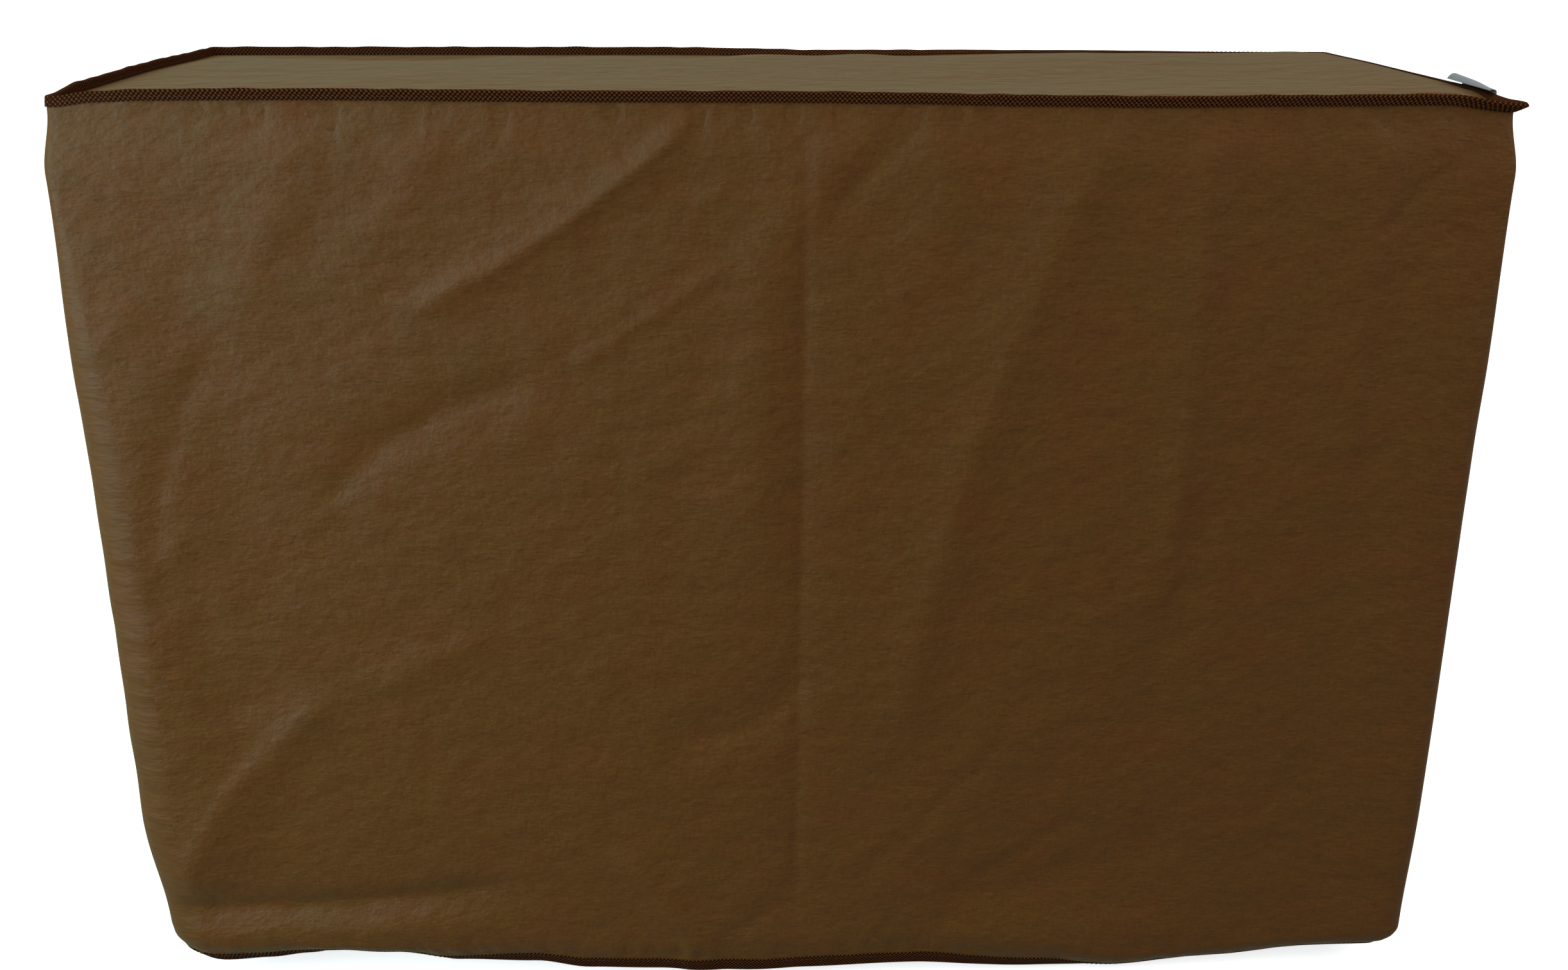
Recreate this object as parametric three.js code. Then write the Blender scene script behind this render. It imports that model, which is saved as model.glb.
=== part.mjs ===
// Fitted dust cover for the outdoor unit of a split air conditioner, sewn from coated cloth.
// Millimetres, +Z up. The front faces -Y and the length runs along X.
// The origin is the middle of the top panel's underside, where the unit's lid carries the cover.
//
// How it is sewn: one long strip of cloth is wrapped round the four sides as a skirt, and its top
// edge is sewn to the turned-up edge of a flat top panel. That seam stands outside as a narrow
// flange, and a folded tape binds it. The same tape binds the skirt's lower edge, and a blank
// label is caught in the right-hand seam.
//
// The skirt, the top panel and the tapes are closed sections swept round the plan of the cover. A
// section is a line of points { n, z }: n is how far the point stands out from the seam's rectangle,
// and z is its height over the seam.
import * as THREE from "three";

// Driving dimensions
const LENGTH = 860;
const DEPTH = 329;
const DROP = 585;
const CLOTH = 1.2;
const TAPE = 1;
const GAP = 0.3;
const FLANGE = 6.2;
const HEM_TAPE = 10;
const CROWN = 3;

// The top tape's outer limb starts this far up the flange, and its inner limb clears the top panel.
const OUTER_BASE = 0.8;
const INNER_BASE = 3;

// Corner radius in plan at the seam, and lower down for front right, back right, back left, front left.
const SEAM_RADIUS = 5;
const LOWER_RADII = [14, 24, 22, 28];
const RADIUS_DEPTH = 230;

// Mesh density: columns along each side and round each corner, and rows down the skirt's wall, which
// stand closer together at its top and near the hem.
const COLUMNS = { front: 40, right: 10, back: 16, left: 10, corner: 3 };
const WALL_ROWS = 19;
const ROW_EASE = 0.6;
const CURL_STEPS = 3;
const SIDES = ["front", "right", "back", "left"];

// A place on the cover's round runs from 0 at the front's left end, and each whole number is the
// next corner: 1 front right, 2 back right, 3 back left and 4 front left again.

// The seam: height over its nominal plane, and how far the flange leans outwards, in degrees.
const SEAM = [
  { place: 0.0, height: -1.4, lean: -6 },
  { place: 0.03, height: 1.4, lean: 4 },
  { place: 0.06, height: 2.4, lean: 10 },
  { place: 0.14, height: 2.8, lean: 12 },
  { place: 0.4, height: 1.4, lean: 12 },
  { place: 0.5, height: 1.2, lean: 12 },
  { place: 0.58, height: 0.4, lean: 12 },
  { place: 0.66, height: -0.9, lean: 12 },
  { place: 0.75, height: -1.7, lean: 12 },
  { place: 0.88, height: -0.8, lean: 16 },
  { place: 0.95, height: -0.2, lean: 20 },
  { place: 1.0, height: -3.6, lean: 54 },
  { place: 1.08, height: -3.2, lean: 64 },
  { place: 1.2, height: 0.0, lean: 80 },
  { place: 1.35, height: 1.2, lean: 95 },
  { place: 1.7, height: 1.8, lean: 103 },
  { place: 2.0, height: 1.2, lean: 102 },
  { place: 2.25, height: 0.4, lean: 76 },
  { place: 2.45, height: -2.0, lean: 42 },
  { place: 2.6, height: -0.6, lean: 22 },
  { place: 2.75, height: -0.5, lean: 8 },
  { place: 3.0, height: -0.6, lean: 4 },
  { place: 3.5, height: 1.6, lean: -2 },
  { place: 3.85, height: 2.0, lean: -4 },
  { place: 4.0, height: -1.4, lean: -6 },
];

// How far the wall stands out from the seam's plan, and the depths below the seam of those columns.
const WALLS = [
  { place: 0.0, high: 5, middle: 9.6, low: 9.5, hem: 3 },
  { place: 0.08, high: 2.4, middle: 3.5, low: 3.5, hem: 3 },
  { place: 0.5, high: 2.4, middle: 4, low: 4, hem: 4 },
  { place: 0.92, high: 2.4, middle: 3.5, low: 3.5, hem: 3.5 },
  { place: 1.0, high: 5, middle: 7.5, low: 9, hem: 7.5 },
  { place: 1.5, high: 5, middle: 9.2, low: 10, hem: 8 },
  { place: 2.0, high: 4, middle: 7, low: 7, hem: 5 },
  { place: 2.1, high: 2.4, middle: 3.5, low: 3.5, hem: 3.5 },
  { place: 2.9, high: 2.4, middle: 3.5, low: 3.5, hem: 3.5 },
  { place: 3.0, high: 4, middle: 8, low: 8, hem: 3 },
  { place: 3.5, high: 4.2, middle: 12, low: 11, hem: 5 },
  { place: 4.0, high: 5, middle: 9.6, low: 9.5, hem: 3 },
];
const WALL_DEPTHS = { high: 38, middle: 170, low: 470, hem: 565 };

// The hem: its height over the nominal hem, how far it rolls inwards in degrees, and the length of
// wall that rolls, just above the tape.
const HEM = [
  { place: 0.0, height: -1.5, curl: 34, roll: 20 },
  { place: 0.04, height: -0.5, curl: 42, roll: 18 },
  { place: 0.07, height: 1.5, curl: 48, roll: 17 },
  { place: 0.105, height: 4, curl: 65, roll: 13 },
  { place: 0.15, height: 1.5, curl: 65, roll: 13 },
  { place: 0.2, height: -7, curl: 46, roll: 18 },
  { place: 0.27, height: -8, curl: 36, roll: 20 },
  { place: 0.32, height: -13.5, curl: 33, roll: 20 },
  { place: 0.38, height: -14, curl: 30, roll: 20 },
  { place: 0.46, height: -16.5, curl: 26, roll: 20 },
  { place: 0.6, height: -13, curl: 27, roll: 20 },
  { place: 0.7, height: -18.5, curl: 38, roll: 20 },
  { place: 0.78, height: -23.5, curl: 58, roll: 20 },
  { place: 0.85, height: -18.5, curl: 62, roll: 20 },
  { place: 1.0, height: -8, curl: 60, roll: 20 },
  { place: 1.5, height: -7, curl: 38, roll: 20 },
  { place: 2.0, height: -8, curl: 30, roll: 20 },
  { place: 2.4, height: -4, curl: 42, roll: 20 },
  { place: 2.7, height: -9, curl: 28, roll: 20 },
  { place: 3.0, height: -4, curl: 30, roll: 20 },
  { place: 3.5, height: 0, curl: 40, roll: 20 },
  { place: 4.0, height: -1.5, curl: 34, roll: 20 },
];

// Folds of each side, as soft ridges over bowed lines. u runs left to right as that side is seen
// from outside, from its middle, and h is the height over the nominal hem. width is half the fold's
// width, and rise is how far it stands out, or sinks in where it is negative.
const FOLDS = {
  front: [
    { topU: 190, topH: 580, lowU: 72, lowH: 185, bow: -12, width: 26, rise: 3 },
    { topU: 244, topH: 590, lowU: 240, lowH: 270, bow: 3, width: 19, rise: 2.5 },
    { topU: 352, topH: 575, lowU: 342, lowH: 330, bow: 0, width: 24, rise: 1.9 },
    { topU: 402, topH: 500, lowU: 386, lowH: 200, bow: 0, width: 20, rise: 1.4 },
    { topU: 42, topH: 590, lowU: 2, lowH: 515, bow: 0, width: 18, rise: 2.2 },
    { topU: 95, topH: 585, lowU: 78, lowH: 470, bow: 0, width: 17, rise: 1.4 },
    { topU: -4, topH: 520, lowU: -24, lowH: 300, bow: -8, width: 22, rise: 2.5 },
    { topU: 8, topH: 540, lowU: 5, lowH: 0, bow: 0, width: 16, rise: -1.4 },
    { topU: -60, topH: 575, lowU: -215, lowH: 468, bow: 6, width: 15, rise: 1.7 },
    { topU: -165, topH: 420, lowU: -290, lowH: 345, bow: -9, width: 16, rise: -1.9 },
    { topU: -285, topH: 570, lowU: -335, lowH: 455, bow: 0, width: 18, rise: 1.9 },
    { topU: -200, topH: 585, lowU: -245, lowH: 505, bow: 0, width: 17, rise: 1.4 },
    { topU: -382, topH: 300, lowU: -362, lowH: 195, bow: 0, width: 16, rise: -2.2 },
    { topU: -300, topH: 205, lowU: -395, lowH: 65, bow: -8, width: 16, rise: 2.5 },
    { topU: -198, topH: 248, lowU: -268, lowH: 212, bow: 0, width: 16, rise: 1.4 },
    { topU: 5, topH: 215, lowU: -80, lowH: 168, bow: 6, width: 16, rise: -1.9 },
    { topU: -108, topH: 85, lowU: -58, lowH: 5, bow: 4, width: 16, rise: 1.9 },
    { topU: 160, topH: 190, lowU: 55, lowH: 55, bow: 0, width: 22, rise: 1.9 },
    { topU: 265, topH: 95, lowU: 110, lowH: 42, bow: 8, width: 22, rise: -2.8 },
    { topU: 262, topH: 330, lowU: 240, lowH: 150, bow: -6, width: 18, rise: -1.9 },
    { topU: -190, topH: 54, lowU: -415, lowH: 46, bow: 4, width: 14, rise: -3.6 },
    { topU: -215, topH: 30, lowU: -405, lowH: 25, bow: 0, width: 12, rise: 2.2 },
    { topU: 290, topH: 14, lowU: 110, lowH: 8, bow: 0, width: 18, rise: 1.9 },
  ],
  right: [
    { topU: -60, topH: 570, lowU: -85, lowH: 230, bow: 8, width: 24, rise: 4 },
    { topU: 40, topH: 575, lowU: 75, lowH: 120, bow: -8, width: 28, rise: 4.5 },
    { topU: -10, topH: 300, lowU: -40, lowH: 20, bow: 0, width: 26, rise: -4 },
  ],
  back: [
    { topU: -300, topH: 580, lowU: -260, lowH: 220, bow: 10, width: 34, rise: 4.5 },
    { topU: -90, topH: 585, lowU: -150, lowH: 150, bow: -8, width: 34, rise: 4 },
    { topU: 70, topH: 575, lowU: 110, lowH: 60, bow: 8, width: 36, rise: -4 },
    { topU: 240, topH: 580, lowU: 200, lowH: 260, bow: 0, width: 34, rise: 4.5 },
    { topU: 340, topH: 300, lowU: 240, lowH: 30, bow: 0, width: 34, rise: -4.5 },
  ],
  left: [
    { topU: -70, topH: 575, lowU: -40, lowH: 200, bow: -6, width: 26, rise: 4.5 },
    { topU: 60, topH: 560, lowU: 85, lowH: 160, bow: 6, width: 24, rise: -4 },
    { topU: 20, topH: 240, lowU: 70, lowH: 20, bow: 0, width: 24, rise: 4 },
  ],
};
// A fold dies out over this length beside an upright corner and below the seam, and over this share
// of its own length at its ends.
const CORNER_FADE = 30;
const SEAM_FADE = 28;
const END_FADE = 0.22;

// Slack waves of the top panel, as soft mounds at x, y with a half width along X and along Y.
const TOP_WAVES = [
  { x: -390, y: 60, wideX: 60, wideY: 110, rise: 1.6 },
  { x: -310, y: 140, wideX: 110, wideY: 60, rise: -2.6 },
  { x: -200, y: 140, wideX: 26, wideY: 45, rise: 2.6 },
  { x: -128, y: 138, wideX: 36, wideY: 45, rise: 2.2 },
  { x: -8, y: 138, wideX: 36, wideY: 50, rise: 2.8 },
  { x: 62, y: 136, wideX: 26, wideY: 45, rise: 2.2 },
  { x: 240, y: 95, wideX: 110, wideY: 70, rise: 2.8 },
  { x: 395, y: 20, wideX: 34, wideY: 150, rise: 4 },
  { x: 140, y: -60, wideX: 120, wideY: 50, rise: -1.4 },
  { x: -250, y: -40, wideX: 60, wideY: 60, rise: 1.4 },
  { x: -150, y: 150, wideX: 330, wideY: 45, rise: -3 },
];
// Rings of the top panel by their distance in from the seam, and where its slack starts to show.
const TOP_RINGS = [7, 20, 44, 78, 118, 160];
const TOP_EDGE_BLEND = 26;

// The label: a strip that starts on the right-hand flange, stands up and flops over outside. What is
// above its foot stands highest at its back end.
const LABEL = { frontY: -124, backY: -62, thickness: 1, steps: 4, foot: 4.6, lowLift: 0.7, highLift: 1.5 };
const LABEL_LINE = [
  { n: 0.8, z: 5.4 },
  { n: 2.2, z: 7.5 },
  { n: 4.8, z: 8.6 },
  { n: 8, z: 7.9 },
  { n: 10.8, z: 5.2 },
  { n: 12.2, z: 0.6 },
  { n: 12.6, z: -6 },
  { n: 12.6, z: -13 },
];

// Small helpers
const radians = THREE.MathUtils.degToRad;
const mix = THREE.MathUtils.lerp;
const smooth = (t) => THREE.MathUtils.smoothstep(t, 0, 1);
const quad = (a, b, c, d) => [a, b, c, a, c, d];

// Value of a column of a table at a place, eased from row to row.
function lookUp(table, column, place) {
  const next = Math.max(1, table.findIndex((row) => row.place >= place));
  const [a, b] = [table[next - 1], table[next]];
  return mix(a[column], b[column], smooth((place - a.place) / (b.place - a.place)));
}

// Stations round the plan, anticlockwise from above: along each side, then round the corner after it.
// On the two short sides they stand closer together towards the corners, where the flange twists.
function makeStations() {
  const list = [];
  SIDES.forEach((name, side) => {
    for (let i = 0; i < COLUMNS[name]; i++) {
      const even = i / COLUMNS[name];
      const along = side % 2 ? mix(even, smooth(even), 0.8) : even;
      list.push({ side, along, turn: 0, place: side + along });
    }
    for (let i = 0; i < COLUMNS.corner; i++)
      list.push({ side, along: 1, turn: i / COLUMNS.corner, place: side + 1 });
  });
  return list;
}
const stations = makeStations();

// Outward direction of a side, the direction along it, and half the plan's size along it once the
// plan is grown by n.
const outwardOf = (side) => [Math.sin((side * Math.PI) / 2), -Math.cos((side * Math.PI) / 2)];
const alongOf = (side) => [Math.cos((side * Math.PI) / 2), Math.sin((side * Math.PI) / 2)];
const halfOf = (side, n) => (side % 2 ? DEPTH : LENGTH) / 2 + n;

// Plan point of a station on the rounded rectangle that stands n outside the seam's.
function planPoint(station, n, radii) {
  const { side, along, turn } = station;
  const [ox, oy] = outwardOf(side);
  const [ax, ay] = alongOf(side);
  const reach = halfOf(side + 1, n);
  const half = halfOf(side, n);
  const end = radii[side];
  const start = radii[(side + 3) % 4];
  const angle = (turn * Math.PI) / 2;
  const out = along < 1 ? reach : reach - end + end * Math.cos(angle);
  const u = along < 1 ? mix(start - half, half - end, along) : half - end + end * Math.sin(angle);
  return [ox * out + ax * u, oy * out + ay * u];
}

// Corner radii at a depth below the seam.
const radiiAt = (depth) =>
  LOWER_RADII.map((radius) => mix(SEAM_RADIUS, radius, smooth(depth / RADIUS_DEPTH)));

// How far one fold stands out at u, h.
function foldAt(fold, u, h) {
  const du = fold.lowU - fold.topU;
  const dh = fold.lowH - fold.topH;
  const length = Math.hypot(du, dh);
  const t = ((u - fold.topU) * du + (h - fold.topH) * dh) / (length * length);
  const bow = 4 * fold.bow * t * (1 - t);
  const across = ((h - fold.topH) * du - (u - fold.topU) * dh) / length - bow;
  const ends = smooth(0.5 + t / END_FADE) * smooth(0.5 + (1 - t) / END_FADE);
  return fold.rise * Math.exp(-((across / fold.width) ** 2)) * ends;
}

// Sum of the folds at a plan point, at a height over the nominal hem.
function foldsAt(x, y, h) {
  let sum = 0;
  SIDES.forEach((name, side) => {
    const [ox, oy] = outwardOf(side);
    const [ax, ay] = alongOf(side);
    const u = x * ax + y * ay;
    const edge = smooth((halfOf(side, 0) - Math.abs(u)) / CORNER_FADE);
    if (x * ox + y * oy > 0 && edge > 0)
      for (const fold of FOLDS[name]) sum += foldAt(fold, u, h) * edge;
  });
  return sum;
}

// Outer face of the flange, from its free end past the tape's two edges down to the seam.
function flangeLine(station) {
  const lean = radians(lookUp(SEAM, "lean", station.place));
  const rows = [FLANGE, INNER_BASE, OUTER_BASE, 0];
  return rows.map((h) => ({ n: h * Math.sin(lean), z: h * Math.cos(lean) }));
}

// How far the wall stands out at a depth, without its folds.
function wallStand(place, depth) {
  let stand = 0;
  let from = 0;
  for (const [column, to] of Object.entries(WALL_DEPTHS)) {
    stand = mix(stand, lookUp(WALLS, column, place), smooth((depth - from) / (to - from)));
    from = to;
  }
  return stand;
}

// Outer face of the skirt from below the seam to the free edge of the hem.
function wallLine(station) {
  const { place } = station;
  const seam = lookUp(SEAM, "height", place);
  const curl = radians(lookUp(HEM, "curl", place));
  const radius = lookUp(HEM, "roll", place) / curl;
  const hem = lookUp(HEM, "height", place) - DROP - seam;
  const wall = -hem - radius * Math.sin(curl) - HEM_TAPE * Math.cos(curl);
  const line = [];
  for (let i = 1; i <= WALL_ROWS; i++) {
    const even = i / WALL_ROWS;
    const depth = wall * mix(even, smooth(even), ROW_EASE);
    const [x, y] = planPoint(station, 0, radiiAt(depth));
    const fold = foldsAt(x, y, DROP + seam - depth) * smooth(depth / SEAM_FADE);
    line.push({ n: wallStand(place, depth) + fold, z: -depth });
  }
  const { n } = line.at(-1);
  for (let i = 1; i <= CURL_STEPS; i++) {
    const angle = (curl * i) / CURL_STEPS;
    line.push({ n: n - radius * (1 - Math.cos(angle)), z: -wall - radius * Math.sin(angle) });
  }
  line.push({ n: line.at(-1).n - HEM_TAPE * Math.sin(curl), z: hem });
  return line;
}

// A line moved sideways with mitred bends, to its left as it runs. Down a wall that is outwards.
function offsetLine(line, distance) {
  const normals = line.slice(1).map((p, i) => {
    const dn = p.n - line[i].n;
    const dz = p.z - line[i].z;
    const length = Math.hypot(dn, dz);
    return { n: -dz / length, z: dn / length };
  });
  return line.map((p, i) => {
    const a = normals[Math.max(0, i - 1)];
    const b = normals[Math.min(normals.length - 1, i)];
    const scale = distance / (1 + a.n * b.n + a.z * b.z);
    return { n: p.n + (a.n + b.n) * scale, z: p.z + (a.z + b.z) * scale };
  });
}

// A line with its last point pushed on in the line's direction.
function lengthened(line, by) {
  const [a, b] = line.slice(-2);
  const share = by / Math.hypot(b.n - a.n, b.z - a.z);
  const end = { n: b.n + (b.n - a.n) * share, z: b.z + (b.z - a.z) * share };
  return [...line.slice(0, -1), end];
}

// U-shaped section of tape folded over the free end of a stack of cloth. The limbs' lines lie on the
// stack's outer face and end at its free end, and hand is -1 where they run up and not down.
function tapeSection(outerLimb, innerLimb, stack, hand) {
  const section = [
    ...offsetLine(lengthened(outerLimb, GAP + TAPE), hand * (GAP + TAPE)),
    ...offsetLine(lengthened(innerLimb, GAP + TAPE), -hand * (stack + GAP + TAPE)).reverse(),
    ...offsetLine(lengthened(innerLimb, GAP), -hand * (stack + GAP)),
    ...offsetLine(lengthened(outerLimb, GAP), hand * GAP).reverse(),
  ];
  return hand > 0 ? section : section.reverse();
}

// A section's point, placed at a station.
function placed(station, point) {
  const [x, y] = planPoint(station, point.n, radiiAt(-point.z));
  return new THREE.Vector3(x, y, point.z + lookUp(SEAM, "height", station.place));
}

// Closed sections, one for each station, swept into a ring. Each patch is cut from its higher point
// at one station to its lower point at the next, so that neighbouring layers bend alike.
function sweep(sectionOf) {
  const rings = stations.map((station) => sectionOf(station).map((p) => placed(station, p)));
  const points = [];
  rings.forEach((ring, i) => {
    const next = rings[(i + 1) % rings.length];
    ring.forEach((point, j) => {
      const k = (j + 1) % ring.length;
      if (point.z > ring[k].z) points.push(...quad(point, ring[k], next[k], next[j]));
      else points.push(...quad(ring[k], next[k], next[j], point));
    });
  });
  return geometryOf(points);
}

function geometryOf(points) {
  const geometry = new THREE.BufferGeometry().setFromPoints(points);
  geometry.computeVertexNormals();
  return geometry;
}

// The skirt: flange and wall in one sheet.
function skirtSection(station) {
  const outer = [...flangeLine(station), ...wallLine(station)];
  return [...outer, ...offsetLine(outer, -CLOTH).reverse()];
}

// The tape over the flange holds the skirt's edge and the top panel's.
function topTapeSection(station) {
  const [end, innerBase, outerBase] = flangeLine(station);
  return tapeSection([outerBase, innerBase, end], [innerBase, end], 2 * CLOTH + GAP, -1);
}

// The tape over the skirt's lower edge.
function hemTapeSection(station) {
  const limb = wallLine(station).slice(-2);
  return tapeSection(limb, limb, CLOTH, 1);
}

// Height of the top panel's underside inside its edges.
function topHeight(x, y) {
  let z = CROWN;
  for (const wave of TOP_WAVES) {
    const across = ((x - wave.x) / wave.wideX) ** 2 + ((y - wave.y) / wave.wideY) ** 2;
    z += wave.rise * Math.exp(-across);
  }
  return z;
}

const topRadii = (inset) => LOWER_RADII.map(() => Math.min(SEAM_RADIUS, DEPTH / 2 - inset - 1));

// Underside of the top panel at a station: down the flange's inner side, then in to the middle.
function topLine(station) {
  const below = { n: 0, z: -1 };
  const lip = offsetLine([...flangeLine(station), below], -(CLOTH + GAP)).slice(0, -1);
  const edge = lip.at(-1).z;
  const seam = lookUp(SEAM, "height", station.place);
  const flat = TOP_RINGS.map((inset) => {
    const [x, y] = planPoint(station, -inset, topRadii(inset));
    const slack = smooth(inset / TOP_EDGE_BLEND);
    return { n: -inset, z: mix(edge, topHeight(x, y) - seam, slack) };
  });
  return [...lip, ...flat];
}

// The top panel: a sheet with its edge turned up all round, closed over the innermost ring.
function topGeometry() {
  const place = (station, p) => {
    const [x, y] = planPoint(station, p.n, topRadii(Math.max(0, -p.n)));
    return new THREE.Vector3(x, y, p.z + lookUp(SEAM, "height", station.place));
  };
  const under = stations.map((s) => topLine(s).map((p) => place(s, p)));
  const over = stations.map((s) => offsetLine(topLine(s), -CLOTH).map((p) => place(s, p)));
  const last = under[0].length - 1;
  const points = [];
  stations.forEach((_, i) => {
    const k = (i + 1) % stations.length;
    for (let j = 0; j < last; j++) {
      points.push(...quad(under[i][j], under[i][j + 1], under[k][j + 1], under[k][j]));
      points.push(...quad(over[i][j], over[k][j], over[k][j + 1], over[i][j + 1]));
    }
    points.push(...quad(over[i][0], under[i][0], under[k][0], over[k][0]));
  });
  const contour = over.map((line) => new THREE.Vector2(line[last].x, line[last].y));
  for (const [a, b, c] of THREE.ShapeUtils.triangulateShape(contour, [])) {
    points.push(over[a][last], over[b][last], over[c][last]);
    points.push(under[c][last], under[b][last], under[a][last]);
  }
  return geometryOf(points);
}

// The label: a section across the seam, carried along it as its lift grows.
function labelGeometry() {
  const { frontY, backY, thickness, steps, foot, lowLift, highLift } = LABEL;
  const rows = [];
  for (let i = 0; i <= steps; i++) {
    const lift = mix(lowLift, highLift, i / steps);
    const line = LABEL_LINE.map(({ n, z }) => ({ n, z: z > foot ? foot + (z - foot) * lift : z }));
    const section = [...line, ...offsetLine(line, -thickness).reverse()];
    const y = mix(frontY, backY, i / steps);
    rows.push(section.map((p) => new THREE.Vector3(LENGTH / 2 + p.n, y, p.z)));
  }
  const points = [];
  rows.slice(1).forEach((row, i) => {
    row.forEach((point, j) => {
      const k = (j + 1) % row.length;
      points.push(...quad(point, rows[i][j], rows[i][k], row[k]));
    });
  });
  const [first, end] = [rows[0], rows.at(-1)];
  for (let j = 0; j < LABEL_LINE.length - 1; j++) {
    const facing = first.length - 1 - j;
    points.push(...quad(first[j], first[facing], first[facing - 1], first[j + 1]));
    points.push(...quad(end[j], end[j + 1], end[facing - 1], end[facing]));
  }
  return geometryOf(points);
}

// Materials
const cloth = new THREE.MeshStandardMaterial({ color: 0x5a4229, roughness: 0.72, metalness: 0 });
const tape = new THREE.MeshStandardMaterial({ color: 0x33180a, roughness: 0.85, metalness: 0 });
const satin = new THREE.MeshStandardMaterial({ color: 0xd6d6d2, roughness: 0.5, metalness: 0 });

// The pieces, lowered so that the middle of the top panel's underside is the origin
function piece(name, geometry, material) {
  const mesh = new THREE.Mesh(geometry, material);
  mesh.name = name;
  mesh.position.z = -topHeight(0, 0);
  return mesh;
}

const cover = new THREE.Group();
cover.add(
  piece("skirt", sweep(skirtSection), cloth),
  piece("top_panel", topGeometry(), cloth),
  piece("top_tape", sweep(topTapeSection), tape),
  piece("hem_tape", sweep(hemTapeSection), tape),
  piece("label", labelGeometry(), satin),
);

export default cover;
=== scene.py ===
import math

import bpy
import numpy as np
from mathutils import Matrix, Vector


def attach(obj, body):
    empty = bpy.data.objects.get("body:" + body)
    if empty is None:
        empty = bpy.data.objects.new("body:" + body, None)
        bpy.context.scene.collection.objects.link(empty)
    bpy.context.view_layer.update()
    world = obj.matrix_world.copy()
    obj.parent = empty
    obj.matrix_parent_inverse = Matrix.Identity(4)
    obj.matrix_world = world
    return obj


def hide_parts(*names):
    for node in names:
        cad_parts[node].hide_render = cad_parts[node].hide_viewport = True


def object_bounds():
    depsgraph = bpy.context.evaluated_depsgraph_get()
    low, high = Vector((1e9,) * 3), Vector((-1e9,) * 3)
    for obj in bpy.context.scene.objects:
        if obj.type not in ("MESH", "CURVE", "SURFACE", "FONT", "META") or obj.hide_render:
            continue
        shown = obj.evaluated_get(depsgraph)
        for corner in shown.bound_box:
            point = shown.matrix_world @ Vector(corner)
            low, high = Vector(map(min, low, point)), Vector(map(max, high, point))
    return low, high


# Looks of a fitted dust cover for the outdoor unit of an air conditioner. It is sewn from a skirt, a
# top panel, a tape over the seam between them, a tape over the hem and a small label.
# Shapes are worked out in millimetres over the seam's plane, with the front facing -Y. When a mesh is
# made they become metres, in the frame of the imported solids.
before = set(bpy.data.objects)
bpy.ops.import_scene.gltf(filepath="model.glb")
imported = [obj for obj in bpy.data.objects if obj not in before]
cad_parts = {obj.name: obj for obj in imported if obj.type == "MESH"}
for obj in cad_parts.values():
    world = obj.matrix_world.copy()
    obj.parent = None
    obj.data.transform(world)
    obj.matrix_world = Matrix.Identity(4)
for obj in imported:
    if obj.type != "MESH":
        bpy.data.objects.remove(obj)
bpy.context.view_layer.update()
scene = bpy.context.scene

# Sizes of the cover in mm, the same as in the solids, but for the cloth, the tape and the gap between
# them, which are thinner here
LENGTH = 860
DEPTH = 329
DROP = 585
CLOTH = 0.7
TAPE = 0.7
GAP = 0.15
HEM_TAPE = 10
CROWN = 3
SEAM_RADIUS = 5
LOWER_RADII = np.array([14, 24, 22, 28])
RADIUS_DEPTH = 230
CORNER_FADE = 30
SEAM_FADE = 28
END_FADE = 0.22
TOP_EDGE_BLEND = 26

# The cloth's own edge inside the top tape, the tape's fold, and the lower ends of its outer and inner
# limbs, as heights up the flange
FLANGE_CLOTH = 5.8
FLANGE_TAPE = 7.1
OUTER_BASE = 0.8
INNER_BASE = 1.2


def columns(names, rows):
    """A table as one array for each named column."""
    return {name: np.array(values, float) for name, values in zip(names.split(), zip(*rows))}


# Places run round the cover: 0 is the front's left end, 1 front right, 2 back right, 3 back left.
SEAM = columns("place height lean", [
    (0.0, -1.4, -6), (0.03, 1.4, 4), (0.06, 2.4, 10), (0.14, 2.8, 12), (0.4, 1.4, 12),
    (0.5, 1.2, 12), (0.58, 0.4, 12), (0.66, -0.9, 12), (0.75, -1.7, 12), (0.88, -0.8, 16),
    (0.95, -0.2, 20), (1.0, -3.6, 54), (1.08, -3.2, 64), (1.2, 0, 80), (1.35, 1.2, 95), (1.7, 1.8, 103),
    (2.0, 1.2, 102), (2.25, 0.4, 76), (2.45, -2, 42), (2.6, -0.6, 22), (2.75, -0.5, 8),
    (3.0, -0.6, 4), (3.5, 1.6, -2), (3.85, 1.3, -4), (4.0, -1.4, -6),
])

# How far the wall stands out from the seam's plan at four depths
WALLS = columns("place high middle low hem", [
    (0.0, 5, 9.6, 9.5, 3), (0.08, 2.4, 3.5, 3.5, 3), (0.5, 2.4, 4, 4, 4), (0.92, 2.4, 3.5, 3.5, 3.5),
    (1.0, 5, 7.5, 9, 7.5), (1.5, 5, 9.2, 10, 8), (2.0, 4, 7, 7, 5), (2.1, 2.4, 3.5, 3.5, 3.5),
    (2.9, 2.4, 3.5, 3.5, 3.5), (3.0, 4, 8, 8, 3), (3.5, 4.2, 12, 11, 5), (4.0, 5, 9.6, 9.5, 3),
])
WALL_DEPTHS = {"high": 38, "middle": 170, "low": 470, "hem": 565}

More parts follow.
